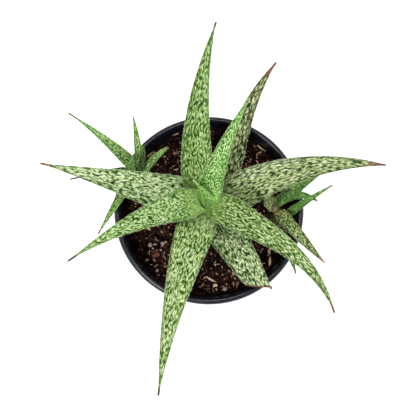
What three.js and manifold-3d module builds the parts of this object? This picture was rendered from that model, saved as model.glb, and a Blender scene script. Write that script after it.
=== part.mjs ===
import * as THREE from 'three';
import { mergeVertices } from 'three/addons/utils/BufferGeometryUtils.js';
import Module from 'manifold-3d';

// A potted white beauty aloe: one rosette of ten toothed leaves on a short stem, with a small plant on
// each side of it, all growing in the soil of a round black nursery pot.
// Millimetres, +Z up. The origin is the centre of the pot's underside, +X is right and +Y is back.

const wasm = await Module();
wasm.setup();

// Pot
const POT_HEIGHT = 95;
const RIM_RADIUS = 53.5;
const BASE_RADIUS = 38;
const WALL = 1.4;
const FLOOR = 2;
const LIP_WIDTH = 3.6;
const SKIRT_DEPTH = 10.5;
const SKIRT_WALL = 1.3;
const SKIRT_TAPER = 0.6;
const BASE_CHAMFER = 1;
// The rolled rim: depth of its underside and of the inner lip, and its rounded edge, each point given by how
// far it lies inside the rim's radius and under its top
const CROWN_DEPTH = 2.6;
const LIP_DEPTH = 1;
const RIM_EDGE = [[0, 1.6], [0.4, 0.5], [1.3, 0], [2.3, 0.2]];
const POT_SIDES = 64;
const DRAIN_HOLES = 8;
const DRAIN_RADIUS = 4;
const DRAIN_CIRCLE = 29;
const DRAIN_SIDES = 16;

// Soil, measured at its top: how much higher its back is than its middle, the height of its waves, and the
// faces of its surface
const SOIL_LEVEL = 84;
const SOIL_TILT = 1.6;
const SOIL_UPHILL = [0.4, 0.9];
const SOIL_SWELL = 0.9;
const SOIL_RINGS = 10;
const SOIL_SIDES = 36;

// Bark chips and mineral grains: their sizes, the ring of soil that they lie in, how far they slope, and the
// room that they leave round the small stems
const CHIP_COUNT = 36;
const CHIP_LENGTH = [3, 7];
const CHIP_WIDTH = 1.8;
const CHIP_HEIGHT = 1.4;
const CHIP_SLOPE = 0.3;
const CHIP_RAISE = 0.2;
const CHIP_RING = [13, 43];
const STEM_ROOM = 10;
const GRAIN_COUNT = 10;
const GRAIN_RADIUS = 1.1;
const SEED = 17;

// Gap that touching pieces keep, and the room round a leaf
const GAP = 0.3;
const LEAF_ROOM = 0.45;

// The three stems: place of the top, how far the foot stands from under it, radii at the foot and at the
// top, and the heights of both ends
const MAIN_STEM = { x: 0.6, y: 3.9, lean: [0, 0], foot: 6.2, top: 3.4, from: 56, to: 101 };
const LEFT_STEM = { x: -39.4, y: 23.3, lean: [3.4, -2.2], foot: 2.7, top: 2, from: 72, to: 94 };
const RIGHT_STEM = { x: 37.4, y: 1.1, lean: [-1, 0], foot: 3.2, top: 2.2, from: 72, to: 93 };
// A stem keeps the width of its foot over this share of its height
const STEM_FULL = 0.6;
const STEM_SIDES = 20;

// A leaf starts at root, given from its stem's axis in X and Y and from the pot's underside in Z.
// heading is its direction in plan, 0 towards +X and counter-clockwise, bend what that turns by along the
// leaf, and sway what it turns by halfway and back. rise is its slope above level at the root and at the tip.
// roll tips the blade, raising its left margin. full and taper shape the outline between the widest place
// and the tip. Angles are in degrees.
// Each list runs from the innermost leaf outwards: a leaf makes room for those before it.
const MAIN_LEAVES = [
  {
    name: 'leaf_young', root: [-0.3, -1.9, 101], heading: 122.6, bend: 19.2, rise: [68, 56], length: 28,
    width: 7, thick: 2, channel: 2.4, full: 1.37, taper: 1.7, colour: 'bright',
  },
  {
    name: 'leaf_inner', root: [-1.8, -1.9, 101], heading: 75, bend: -21, rise: [66, 44], length: 86.8,
    width: 12.9, thick: 3, channel: 3, full: 1.12, taper: 1, colour: 'bright',
  },
  {
    name: 'leaf_front_right', root: [0, -0.2, 102.5], heading: -39, bend: -34, sway: 18.6, rise: [46, -6],
    length: 102, width: 17.2, thick: 4.6, channel: 1.6, full: 1.12, taper: 1.03, colour: 'bright',
  },
  {
    name: 'leaf_front_left', root: [-4.5, -0.1, 104], heading: -160.2, bend: 19.4, rise: [46, 20],
    length: 94, width: 16.8, thick: 4.6, channel: 2.2, full: 1.19, taper: 1.21, colour: 'bright',
  },
  {
    name: 'leaf_back', root: [-5.5, 2.4, 97], heading: 98.9, bend: -29.4, rise: [42, 34], length: 105.2,
    width: 17.3, thick: 5, channel: 2.4, full: 1.35, taper: 1.09, colour: 'green',
  },
  {
    name: 'leaf_front', root: [-2.9, -2, 97], heading: -109.6, bend: 14, rise: [36, 20], length: 121,
    width: 21, thick: 5.4, channel: 2.4, full: 1.13, taper: 1.08, colour: 'green',
  },
  {
    name: 'leaf_right', root: [3.5, -2, 94], heading: 31.3, bend: -40.4, rise: [34, 8], length: 101.5,
    width: 21.5, thick: 5.6, channel: 2.6, full: 1.13, taper: 0.93, roll: [-4, -6], colour: 'grey_green',
  },
  {
    name: 'leaf_back_right', root: [3.2, -0.3, 91.5], heading: 68, bend: -19.4, sway: 10.9, rise: [34, 28],
    length: 90, width: 15.5, thick: 4.6, channel: 1.8, full: 1.12, taper: 0.9, colour: 'grey_green',
  },
  {
    name: 'leaf_left', root: [-0.9, -1.7, 92.5], heading: 168.2, bend: 2, rise: [32, 16], length: 100,
    width: 24.1, thick: 5.6, channel: 2.6, full: 1.12, taper: 1.13, colour: 'grey_green',
  },
  {
    name: 'leaf_cut_front_right', root: [0.4, -1.4, 90.5], heading: -62, bend: 4.9, rise: [24, 10],
    length: 76.5, width: 21.1, thick: 4.8, channel: 1.6, full: 1.38, taper: 0.76, colour: 'grey_green',
    trim: { x: 26.4, y: -44.5, heading: -95 },
  },
];

const LEFT_LEAVES = [
  {
    name: 'left_pup_leaf_back', root: [0.6, -0.2, 93.4], heading: 91, bend: 8, rise: [62, 40], length: 38,
    width: 4.8, thick: 2, channel: 0.9, full: 1.5, taper: 0.8, colour: 'green',
  },
  {
    name: 'left_pup_leaf_small', root: [1.7, -0.7, 93.2], heading: 85, bend: -6, rise: [64, 50], length: 22,
    width: 3.6, thick: 1.4, channel: 0.6, full: 1.6, taper: 0.7, colour: 'green',
  },
  {
    name: 'left_pup_leaf_right', root: [2, -2.4, 92], heading: 52, bend: -23, rise: [50, 20], length: 24.5,
    width: 4.3, thick: 1.7, channel: 0.6, full: 1.8, taper: 0.6, colour: 'green',
  },
  {
    name: 'left_pup_leaf_back_left', root: [-0.8, -1, 94.2], heading: 138, bend: 11, rise: [50, 16],
    length: 54.5, width: 7.2, thick: 2.8, channel: 1, full: 1.36, taper: 1.29, colour: 'green',
  },
  {
    name: 'left_pup_leaf_front', root: [-2.3, -2.2, 93], heading: -116.5, bend: -1, rise: [34, 10],
    length: 45.5, width: 5.4, thick: 2.4, channel: 0.8, full: 1.65, taper: 1.06, colour: 'green',
  },
  {
    name: 'left_pup_leaf_left', root: [-1, -1.3, 94], heading: -169, bend: 4, rise: [48, 10],
    length: 43, width: 5, thick: 2.2, channel: 0.8, full: 1.5, taper: 1.3, colour: 'green',
  },
];

const RIGHT_LEAVES = [
  {
    name: 'right_pup_leaf_young', root: [-0.2, 0.2, 92.6], heading: 62, bend: 0, rise: [66, 56], length: 17.5,
    width: 2.4, thick: 1.2, channel: 0.4, full: 1.4, taper: 1, colour: 'bright',
  },
  {
    name: 'right_pup_leaf_blunt', root: [0.4, 0.4, 92.6], heading: 150, bend: 0, rise: [50, 30], length: 14,
    width: 7.6, thick: 2.4, channel: 1.2, full: 2.4, taper: 0.5, cut: 0.72, colour: 'pale',
  },
  {
    name: 'right_pup_leaf_right', root: [-1, 1.4, 92], heading: 44, bend: -80, rise: [40, -4],
    length: 28.6, width: 6.2, thick: 2.4, channel: 1.4, full: 1.6, taper: 0.8, colour: 'green',
  },
  {
    name: 'right_pup_leaf_back_right', root: [1, 0.8, 92], heading: 49, bend: -26,
    rise: [40, 14], length: 37.5, width: 7.6, thick: 2.2, channel: 0.9, full: 2, taper: 0.65,
    colour: 'green',
  },
  {
    name: 'right_pup_leaf_high', root: [6.2, -4.1, 82], heading: 29.5, bend: -0.5, rise: [88, 14],
    length: 46.8, width: 4.9, thick: 2.2, channel: 1.4, full: 1.5, taper: 0.84, colour: 'green',
  },
  {
    name: 'right_pup_leaf_front_right', root: [1, -1, 92], heading: -56, bend: 7, rise: [36, 14],
    length: 45, width: 7.6, thick: 2.6, channel: 0.8, full: 1.55, taper: 0.9, colour: 'green',
  },
  {
    name: 'right_pup_leaf_front', root: [-2.8, -1.2, 90.5], heading: -66, bend: -9, rise: [34, 8],
    length: 43, width: 6.4, thick: 2.2, channel: 0.8, full: 1.6, taper: 0.9, colour: 'grey_green',
  },
];

// Rings of a leaf, margin teeth from ring to ring, and how far the teeth stand out
const MAIN_RINGS = { rings: 10, teeth: 3, tooth: 0.65 };
const PUP_RINGS = { rings: 6, teeth: 3, tooth: 0.4 };

// A leaf's widest place along its length, and the share of its width and thickness that its root has, and by
// how much its channel deepens there
const WIDEST = 0.16;
const BASE_WIDTH = 0.7;
const BASE_THICKNESS = 0.6;
const BASE_CHANNEL = 1.5;
// How fast a leaf thins to its tip, how full its belly is across, how much of the channel's depth the belly
// follows, and how far the lower margin turns up
const THINNING = 0.55;
const BELLY_FULL = 2.4;
const BELLY_FOLLOWS = 0.8;
const MARGIN_TURN = 0.2;
const INNER_LANES = [-0.55, 0, 0.55];
const TRIM_BLOCK = 60;
// The blade that makes room has this many margin points a ring, and stands further out over steep faces
const ROOM_POINTS = 3;
const STEEP = 1.7;

const MATERIALS = {
  bright: new THREE.MeshStandardMaterial({ color: 0x86b75a, roughness: 0.5, metalness: 0 }),
  green: new THREE.MeshStandardMaterial({ color: 0x6c9c50, roughness: 0.5, metalness: 0 }),
  grey_green: new THREE.MeshStandardMaterial({ color: 0x7f9a70, roughness: 0.55, metalness: 0 }),
  pale: new THREE.MeshStandardMaterial({ color: 0xa9bf7e, roughness: 0.55, metalness: 0 }),
  stem: new THREE.MeshStandardMaterial({ color: 0x8a8a5a, roughness: 0.7, metalness: 0 }),
  soil: new THREE.MeshStandardMaterial({ color: 0x2a1a14, roughness: 0.95, metalness: 0 }),
  pot: new THREE.MeshStandardMaterial({ color: 0x1a1b1f, roughness: 0.4, metalness: 0 }),
};

const UP = new THREE.Vector3(0, 0, 1);
const radians = THREE.MathUtils.degToRad;
const mix = THREE.MathUtils.lerp;

function seededRandom(seed) {
  let state = seed;
  return () => {
    state = (state + 0x6d2b79f5) | 0;
    let t = Math.imul(state ^ (state >>> 15), 1 | state);
    t = (t + Math.imul(t ^ (t >>> 7), 61 | t)) ^ t;
    return ((t ^ (t >>> 14)) >>> 0) / 4294967296;
  };
}

// Between three.js geometries and solids that can be joined and cut
function toSolid(geometry) {
  const bare = geometry.clone();
  bare.deleteAttribute('normal');
  bare.deleteAttribute('uv');
  const merged = mergeVertices(bare, 1e-4);
  const index = merged.index.array;
  const kept = [];
  for (let i = 0; i < index.length; i += 3) {
    const [a, b, c] = [index[i], index[i + 1], index[i + 2]];
    if (a !== b && b !== c && c !== a) kept.push(a, b, c);
  }
  return new wasm.Manifold(new wasm.Mesh({
    numProp: 3,
    vertProperties: new Float32Array(merged.attributes.position.array),
    triVerts: new Uint32Array(kept),
  }));
}

function toGeometry(solid) {
  const mesh = solid.getMesh();
  const geometry = new THREE.BufferGeometry();
  geometry.setAttribute('position', new THREE.BufferAttribute(mesh.vertProperties, 3));
  geometry.setIndex(new THREE.BufferAttribute(mesh.triVerts, 1));
  return geometry;
}

function largestPiece(solid) {
  return solid.decompose().reduce((best, piece) => (piece.volume() > best.volume() ? piece : best));
}

function geometryOf(points, triangles) {
  const geometry = new THREE.BufferGeometry();
  geometry.setAttribute('position', new THREE.Float32BufferAttribute(points.flat(), 3));
  geometry.setIndex(triangles.flat());
  return geometry;
}

// The pot: a tapered shell with a flat floor, a rolled rim and a skirt that hangs round the wall
function wallRadius(z) {
  const under = RIM_RADIUS - LIP_WIDTH + WALL;
  return mix(BASE_RADIUS, under, z / POT_HEIGHT);
}

function potSolid() {
  const top = POT_HEIGHT;
  const inner = wallRadius(top) - WALL;
  const crown = top - CROWN_DEPTH;
  const skirt = top - SKIRT_DEPTH;
  const skirtOut = RIM_RADIUS - SKIRT_TAPER;
  const profile = [
    [0, 0],
    [BASE_RADIUS - BASE_CHAMFER, 0],
    [BASE_RADIUS, BASE_CHAMFER],
    [wallRadius(crown), crown],
    [RIM_RADIUS - SKIRT_WALL, crown],
    [skirtOut - SKIRT_WALL, skirt],
    [skirtOut, skirt],
    ...RIM_EDGE.map(([inward, down]) => [RIM_RADIUS - inward, top - down]),
    [inner, top - LIP_DEPTH],
    [wallRadius(FLOOR) - WALL, FLOOR],
    [0, FLOOR],
  ];
  const shell = new THREE.LatheGeometry(profile.map(([r, z]) => new THREE.Vector2(r, z)), POT_SIDES);
  shell.rotateX(Math.PI / 2);
  let pot = toSolid(shell);
  for (let i = 0; i < DRAIN_HOLES; i += 1) {
    const angle = (2 * Math.PI * i) / DRAIN_HOLES;
    const hole = new THREE.CylinderGeometry(DRAIN_RADIUS, DRAIN_RADIUS, 3 * FLOOR, DRAIN_SIDES);
    hole.rotateX(Math.PI / 2);
    hole.translate(DRAIN_CIRCLE * Math.cos(angle), DRAIN_CIRCLE * Math.sin(angle), FLOOR / 2);
    pot = pot.subtract(toSolid(hole));
  }
  return pot;
}

// The soil's top: a tilted, gently waved surface, higher at the back than at the front left
function soilHeight(x, y) {
  const tilt = (SOIL_TILT * (SOIL_UPHILL[0] * x + SOIL_UPHILL[1] * y)) / RIM_RADIUS;
  const swell = Math.sin(0.17 * x + 1.1) * Math.cos(0.21 * y - 0.4) + 0.5 * Math.sin(0.43 * x - 0.31 * y);
  return SOIL_LEVEL + tilt + SOIL_SWELL * swell;
}

function soilBody() {
  const bottom = FLOOR + GAP;
  const points = [[0, 0, soilHeight(0, 0)]];
  const triangles = [];
  const ring = (n) => 1 + n * SOIL_SIDES;
  const side = (n, i) => ring(n) + (i % SOIL_SIDES);
  for (let n = 0; n <= SOIL_RINGS; n += 1) {
    for (let i = 0; i < SOIL_SIDES; i += 1) {
      const angle = (2 * Math.PI * (i + 0.5 * (n % 2))) / SOIL_SIDES;
      const low = n === SOIL_RINGS;
      const reach = wallRadius(low ? bottom : SOIL_LEVEL - 2) - WALL - GAP;
      const radius = low ? reach : (reach * (n + 1)) / SOIL_RINGS;
      const x = radius * Math.cos(angle);
      const y = radius * Math.sin(angle);
      points.push([x, y, low ? bottom : soilHeight(x, y)]);
    }
  }
  const last = points.push([0, 0, bottom]) - 1;
  for (let i = 0; i < SOIL_SIDES; i += 1) {
    triangles.push([0, side(0, i), side(0, i + 1)]);
    triangles.push([last, side(SOIL_RINGS, i + 1), side(SOIL_RINGS, i)]);
  }
  for (let n = 0; n < SOIL_RINGS; n += 1) {
    const odd = n % 2;
    for (let i = 0; i < SOIL_SIDES; i += 1) {
      const [a, b] = [side(n, i), side(n, i + 1)];
      const [c, d] = [side(n + 1, i), side(n + 1, i + 1)];
      if (odd) triangles.push([a, c, d], [a, d, b]);
      else triangles.push([a, c, b], [b, c, d]);
    }
  }
  return toSolid(geometryOf(points, triangles));
}

// Bark chips and pale mineral grains, sunk by half into the soil's top and kept clear of the stems
function soilSolid() {
  const random = seededRandom(SEED);
  let soil = soilBody();
  for (let i = 0; i < CHIP_COUNT + GRAIN_COUNT; i += 1) {
    const radius = mix(...CHIP_RING, Math.sqrt(random()));
    const angle = 2 * Math.PI * random();
    const x = radius * Math.cos(angle);
    const y = radius * Math.sin(angle);
    const long = mix(...CHIP_LENGTH, random());
    const spin = Math.PI * random();
    const slope = mix(-CHIP_SLOPE, CHIP_SLOPE, random());
    const piece = i < CHIP_COUNT
      ? new THREE.BoxGeometry(long, CHIP_WIDTH, CHIP_HEIGHT)
      : new THREE.IcosahedronGeometry(GRAIN_RADIUS, 0);
    piece.rotateY(slope);
    piece.rotateZ(spin);
    piece.translate(x, y, soilHeight(x, y) + CHIP_RAISE);
    const clear = [LEFT_STEM, RIGHT_STEM].every((stem) => Math.hypot(x - stem.x, y - stem.y) > STEM_ROOM);
    if (clear) soil = soil.add(toSolid(piece));
  }
  for (const stem of [MAIN_STEM, LEFT_STEM, RIGHT_STEM]) soil = soil.subtract(stemSolid(stem, GAP));
  for (const leaf of RIGHT_LEAVES.filter(({ root }) => root[2] < SOIL_LEVEL)) {
    soil = soil.subtract(leafSolid(leaf, RIGHT_STEM, PUP_RINGS, LEAF_ROOM));
  }
  return largestPiece(soil);
}

// A stem tapers from its foot to a rounded top; grow makes it thicker all round
function stemSolid(stem, grow) {
  const dome = 0.5 * stem.top;
  const profile = [
    [0, stem.from - grow],
    [stem.foot + grow, stem.from - grow],
    [stem.foot + grow, mix(stem.from, stem.to, STEM_FULL)],
    [stem.top + grow, stem.to - dome],
    [0.7 * (stem.top + grow), stem.to - 0.3 * dome + grow],
    [0, stem.to + grow],
  ];
  const body = new THREE.LatheGeometry(profile.map(([r, z]) => new THREE.Vector2(r, z)), STEM_SIDES);
  body.rotateX(Math.PI / 2);
  const position = body.attributes.position;
  for (let i = 0; i < position.count; i += 1) {
    const down = (stem.to - position.getZ(i)) / (stem.to - stem.from);
    position.setX(i, position.getX(i) + stem.x + stem.lean[0] * down);
    position.setY(i, position.getY(i) + stem.y + stem.lean[1] * down);
  }
  return toSolid(body);
}

// Stations along a leaf's centre line: place, forward, side and up at each step
function leafStations(leaf, stem, steps) {
  const [rollFrom, rollTo] = leaf.roll ?? [0, 0];
  const forward = (t) => {
    const sway = (leaf.sway ?? 0) * Math.sin(Math.PI * t);
    const heading = radians(leaf.heading + leaf.bend * t + sway);
    const rise = radians(mix(leaf.rise[0], leaf.rise[1], t));
    return new THREE.Vector3(
      Math.cos(rise) * Math.cos(heading),
      Math.cos(rise) * Math.sin(heading),
      Math.sin(rise),
    );
  };
  const place = new THREE.Vector3(stem.x + leaf.root[0], stem.y + leaf.root[1], leaf.root[2]);
  const stations = [];
  for (let i = 0; i <= steps; i += 1) {
    const t = i / steps;
    const ahead = forward(t);
    const roll = radians(mix(rollFrom, rollTo, t));
    const side = new THREE.Vector3().crossVectors(UP, ahead).normalize().applyAxisAngle(ahead, roll);
    const up = new THREE.Vector3().crossVectors(ahead, side);
    stations.push({ t, place: place.clone(), side, up });
    const step = ahead.clone().add(forward((i + 1) / steps)).normalize();
    place.addScaledVector(step, leaf.length / steps);
  }
  return stations;
}

// Share of the full width at t: a sine up to the widest place, then a long taper to a fine tip
function widthShare(leaf, t) {
  if (t < WIDEST) return mix(BASE_WIDTH, 1, Math.sin((Math.PI / 2) * (t / WIDEST)));
  const past = (t - WIDEST) / (1 - WIDEST);
  return Math.max(0, 1 - past ** leaf.full) ** leaf.taper;
}

// Height of the blade's two faces over its margins, across the blade from -1 to 1
function faceHeights(leaf, t, across) {
  const share = widthShare(leaf, t);
  const young = Math.max(0, 1 - t / WIDEST);
  const channel = leaf.channel * share * mix(1, BASE_CHANNEL, young);
  const thick = leaf.thick * mix(1, BASE_THICKNESS, young) * (1 - t) ** THINNING;
  const hollow = 1 - across ** 2;
  const belly = 1 - Math.abs(across) ** BELLY_FULL;
  const under = -(channel * BELLY_FOLLOWS + thick) * belly - MARGIN_TURN * channel * hollow;
  return [-channel * hollow, under];
}

// The blade between its two toothed margins. With grow, the same blade without teeth, larger all round.
function leafSolid(leaf, stem, size, grow = 0) {
  const teeth = grow ? 0 : size.teeth;
  const per = grow ? ROOM_POINTS : 2 * size.teeth;
  const lift = STEEP * grow;
  const end = leaf.cut ?? 1;
  const stations = leafStations(leaf, stem, size.rings * per);
  const rings = Math.round(size.rings * end);
  const points = [];
  const triangles = [];
  const add = (station, across, outward, height) => {
    const half = 0.5 * leaf.width * widthShare(leaf, station.t);
    const point = station.place.clone();
    point.addScaledVector(station.side, across * half + Math.sign(across) * outward);
    point.addScaledVector(station.up, height);
    return points.push(point.toArray()) - 1;
  };
  const rows = [];
  for (let i = 0; i <= rings * per; i += 1) {
    const station = stations[i];
    const row = { left: [], right: [], upper: [], lower: [] };
    const tooth = teeth && i % 2 === 1 ? size.tooth * Math.sqrt(widthShare(leaf, station.t)) : 0;
    const outward = tooth + (grow ? grow + size.tooth : 0);
    for (const [key, across] of [['left', 1], ['right', -1]]) {
      const over = add(station, across, outward, lift);
      row[key] = [over, grow ? add(station, across, outward, -lift) : over];
    }
    if (i % per === 0) {
      for (const across of INNER_LANES) {
        const [over, under] = faceHeights(leaf, station.t, across);
        row.upper.push(add(station, across, 0, over + lift));
        row.lower.push(add(station, across, 0, under - lift));
      }
    }
    rows.push(row);
  }
  const quad = (a, b, c, d) => triangles.push([a, b, c], [a, c, d]);
  // One inner edge from ring to ring, and the margin's points beside it
  const zip = (near, far, margin, flip) => {
    const half = Math.floor(margin.length / 2);
    const face = (a, b, c) => triangles.push(flip ? [a, c, b] : [a, b, c]);
    for (let j = 0; j < margin.length - 1; j += 1) face(j < half ? near : far, margin[j + 1], margin[j]);
    face(near, far, margin[half]);
  };
  for (let n = 0; n < rings; n += 1) {
    const here = rows[n * per];
    const next = rows[(n + 1) * per];
    for (let lane = 0; lane < INNER_LANES.length - 1; lane += 1) {
      quad(here.upper[lane], next.upper[lane], next.upper[lane + 1], here.upper[lane + 1]);
      quad(here.lower[lane], here.lower[lane + 1], next.lower[lane + 1], next.lower[lane]);
    }
    const between = rows.slice(n * per, (n + 1) * per + 1);
    const lastLane = INNER_LANES.length - 1;
    for (const [key, lane, flip] of [['right', 0, true], ['left', lastLane, false]]) {
      zip(here.upper[lane], next.upper[lane], between.map((row) => row[key][0]), flip);
      zip(here.lower[lane], next.lower[lane], between.map((row) => row[key][1]), !flip);
      for (let j = 0; j < per; j += 1) {
        const [a, b] = [between[j][key], between[j + 1][key]];
        if (flip) quad(a[0], a[1], b[1], b[0]);
        else quad(a[0], b[0], b[1], a[1]);
      }
    }
  }
  // Closed across the root and across the tip or the cut
  for (const [row, flip] of [[rows[0], false], [rows[rings * per], true]]) {
    const over = [row.right[0], ...row.upper, row.left[0]];
    const under = [row.right[1], ...row.lower, row.left[1]];
    for (let j = 0; j < over.length - 1; j += 1) {
      if (flip) quad(over[j], under[j], under[j + 1], over[j + 1]);
      else quad(over[j], over[j + 1], under[j + 1], under[j]);
    }
  }
  const blade = toSolid(geometryOf(points, triangles));
  return leaf.trim ? blade.subtract(pastTrim(leaf.trim)) : blade;
}

// Everything past an upright cut that faces the trim's heading
function pastTrim({ x, y, heading }) {
  const block = new THREE.BoxGeometry(TRIM_BLOCK, TRIM_BLOCK, TRIM_BLOCK);
  block.translate(TRIM_BLOCK / 2, 0, POT_HEIGHT);
  block.rotateZ(radians(heading));
  block.translate(x, y, 0);
  return toSolid(block);
}

// A rosette: every leaf is cut clear of its stem and of the leaves inside it
function rosette(leaves, stem, size) {
  const solids = [];
  let taken = stemSolid(stem, GAP);
  for (const leaf of leaves) {
    solids.push([leaf, largestPiece(leafSolid(leaf, stem, size).subtract(taken))]);
    taken = taken.add(leafSolid(leaf, stem, size, LEAF_ROOM));
  }
  return solids;
}

const plant = new THREE.Group();

function addPiece(name, solid, colour) {
  const mesh = new THREE.Mesh(toGeometry(solid), MATERIALS[colour].clone());
  mesh.name = name;
  plant.add(mesh);
}

addPiece('pot', potSolid(), 'pot');
addPiece('soil', soilSolid(), 'soil');
addPiece('stem', stemSolid(MAIN_STEM, 0), 'stem');
addPiece('left_pup_stem', stemSolid(LEFT_STEM, 0), 'stem');
addPiece('right_pup_stem', stemSolid(RIGHT_STEM, 0), 'stem');
for (const [leaves, stem, size] of [
  [MAIN_LEAVES, MAIN_STEM, MAIN_RINGS],
  [LEFT_LEAVES, LEFT_STEM, PUP_RINGS],
  [RIGHT_LEAVES, RIGHT_STEM, PUP_RINGS],
]) {
  for (const [leaf, solid] of rosette(leaves, stem, size)) addPiece(leaf.name, solid, leaf.colour);
}

export default plant;
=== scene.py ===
# %% [markdown]
# # Potted white beauty aloe
# A small succulent in a round black nursery pot, seen from almost straight above. Its main rosette has ten
# toothed leaves that are densely flecked with cream, and a small plant grows on each side of it. The packed
# model gives every piece its place and size. This script gives each leaf a finer skin with real teeth, the
# pot a moulded rim and the soil its crumbs, bark shreds and pale grains.

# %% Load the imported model
import math
import random

import bmesh
import bpy
from mathutils import Matrix, Quaternion, Vector, noise


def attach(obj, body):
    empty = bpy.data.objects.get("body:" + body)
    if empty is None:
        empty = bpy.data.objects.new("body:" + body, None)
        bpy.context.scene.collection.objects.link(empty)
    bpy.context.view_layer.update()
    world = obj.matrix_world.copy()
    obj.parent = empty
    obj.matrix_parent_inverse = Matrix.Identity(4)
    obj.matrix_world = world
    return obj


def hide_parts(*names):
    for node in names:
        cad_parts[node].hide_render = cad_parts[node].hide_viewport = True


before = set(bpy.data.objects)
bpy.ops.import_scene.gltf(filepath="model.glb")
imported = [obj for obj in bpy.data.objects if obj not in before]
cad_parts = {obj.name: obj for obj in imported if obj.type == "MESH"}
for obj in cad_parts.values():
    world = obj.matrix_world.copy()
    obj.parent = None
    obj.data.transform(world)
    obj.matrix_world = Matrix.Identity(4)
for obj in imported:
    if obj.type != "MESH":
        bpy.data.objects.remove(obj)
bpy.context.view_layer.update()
print("CAD nodes:", len(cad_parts))

# %% [markdown]
# ## Camera
# The photograph was taken from above and slightly in front, with the lens about 60 cm over the pot. A long
# lens keeps the tall leaf tips from spreading too far over the rim. The target lies at the rim's
# height.

# %% Camera
MM = 0.001
TARGET = Vector((-0.5, 0.6, 95)) * MM
ELEVATION = math.radians(82)
DISTANCE = 600 * MM
FIELD = 234 * MM
SENSOR = 36

back = Vector((0, -math.cos(ELEVATION), math.sin(ELEVATION)))
camera = bpy.data.objects.new("photo_camera", bpy.data.cameras.new("photo_camera"))
camera.data.sensor_width = SENSOR
camera.data.lens = SENSOR * DISTANCE / FIELD
camera.data.clip_start = 10 * MM
camera.location = TARGET + DISTANCE * back
camera.rotation_euler = (-back).to_track_quat("-Z", "Y").to_euler()
bpy.context.scene.collection.objects.link(camera)
bpy.context.scene.camera = camera
print("lens", round(camera.data.lens, 1), "mm")

# %% [markdown]
# ## Colours and shader nodes
# Colours are written as sRGB hex codes, but the renderer counts light in linear values, so one function
# turns them over. Another adds a shader node with its settings, its inputs and, for a colour ramp, its stops.
# A third starts a material and hands back its shader, and a fourth lays a plain colour over a pattern. Every
# material below is written with these.

# %% Colour and node helpers
def linear(code):
    shares = [int(code[i:i + 2], 16) / 255 for i in (1, 3, 5)]
    return tuple(c / 12.92 if c <= 0.04045 else ((c + 0.055) / 1.055) ** 2.4 for c in shares) + (1,)


def node(tree, kind, inputs=None, stops=None, **settings):
    made = tree.nodes.new(kind)
    for key, value in settings.items():
        setattr(made, key, value)
    for key, value in (inputs or {}).items():
        if isinstance(value, bpy.types.Node):
            value = value.outputs[0]
        if isinstance(value, bpy.types.NodeSocket):
            tree.links.new(value, made.inputs[key])
        else:
            made.inputs[key].default_value = value
    if stops:
        band = made.color_ramp.elements
        while len(band) < len(stops):
            band.new(1)
        for element, (position, colour) in zip(band, stops):
            element.position = position
            element.color = linear(colour) if isinstance(colour, str) else (colour,) * 3 + (1,)
    return made


def new_material(name):
    material = bpy.data.materials.new(name)
    material.use_nodes = True
    return material, material.node_tree, material.node_tree.nodes["Principled BSDF"]


def blend(tree, share, under, colour):
    return node(tree, "ShaderNodeMix", {0: share, 6: under, 7: linear(colour)}, data_type="RGBA").outputs[2]


# %% [markdown]
# ## Light and floor
# The photograph is a studio cut-out on a white ground: soft light from all sides, and a key from the front
# that leaves the soil behind the leaves in shade. A white world with area lights gives that. A small lamp
# overhead draws the thin line of light on the pot's rim, and a weak one fills the right. The floor is plain
# and pale, and glows a little so that it stays as white as the ground of the photograph.

# %% World and lights
world = bpy.data.worlds.new("white_studio")
world.use_nodes = True
world.node_tree.nodes["Background"].inputs["Color"].default_value = (1, 1, 1, 1)
world.node_tree.nodes["Background"].inputs["Strength"].default_value = 0.5
bpy.context.scene.world = world
bpy.context.scene.view_settings.view_transform = "Standard"

LIGHTS = {
    "key_front": {"at": (-0.62, -0.74, 1.0), "size": (0.5, 0.5), "watts": 9},
    "overhead": {"at": (0, 0.17, 1.2), "size": (0.25, 0.25), "watts": 4},
    "fill_right": {"at": (0.9, 0.1, 0.8), "size": (0.8, 0.8), "watts": 1},
}
for name, light in LIGHTS.items():
    lamp = bpy.data.objects.new(name, bpy.data.lights.new(name, "AREA"))
    lamp.data.shape = "RECTANGLE"
    lamp.data.size, lamp.data.size_y = light["size"]
    lamp.data.energy = light["watts"]
    lamp.location = light["at"]
    lamp.rotation_euler = (TARGET - Vector(light["at"])).to_track_quat("-Z", "Y").to_euler()
    bpy.context.scene.collection.objects.link(lamp)
print("lights", len(LIGHTS))


# %% Floor
def as_object(name, bm):
    mesh = bpy.data.meshes.new(name)
    bm.to_mesh(mesh)
    bm.free()
    made = bpy.data.objects.new(name, mesh)
    bpy.context.scene.collection.objects.link(made)
    return made


FLOOR_REACH = 8
FLOOR_DROP = 0.2 * MM
floor_white, floor_tree, floor_shader = new_material("matt_white_floor")
where = node(floor_tree, "ShaderNodeTexCoord").outputs["Object"]
speck = node(floor_tree, "ShaderNodeTexNoise", {"Vector": where, "Scale": 900})
tone = node(floor_tree, "ShaderNodeValToRGB", {"Fac": speck}, stops=[(0.3, "#F8F8F8"), (0.7, "#FCFCFC")])
floor_tree.links.new(tone.outputs[0], floor_shader.inputs["Base Color"])
floor_shader.inputs["Roughness"].default_value = 0.9
floor_shader.inputs["Emission Color"].default_value = (1, 1, 1, 1)
floor_shader.inputs["Emission Strength"].default_value = 0.6
bm = bmesh.new()
bmesh.ops.create_grid(bm, x_segments=8, y_segments=8, size=FLOOR_REACH)
bmesh.ops.translate(bm, verts=bm.verts, vec=(0, 0, -FLOOR_DROP))
floor = as_object("studio_floor", bm)
floor.data.materials.append(floor_white)
print("floor", FLOOR_REACH * 2, "m wide")

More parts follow.
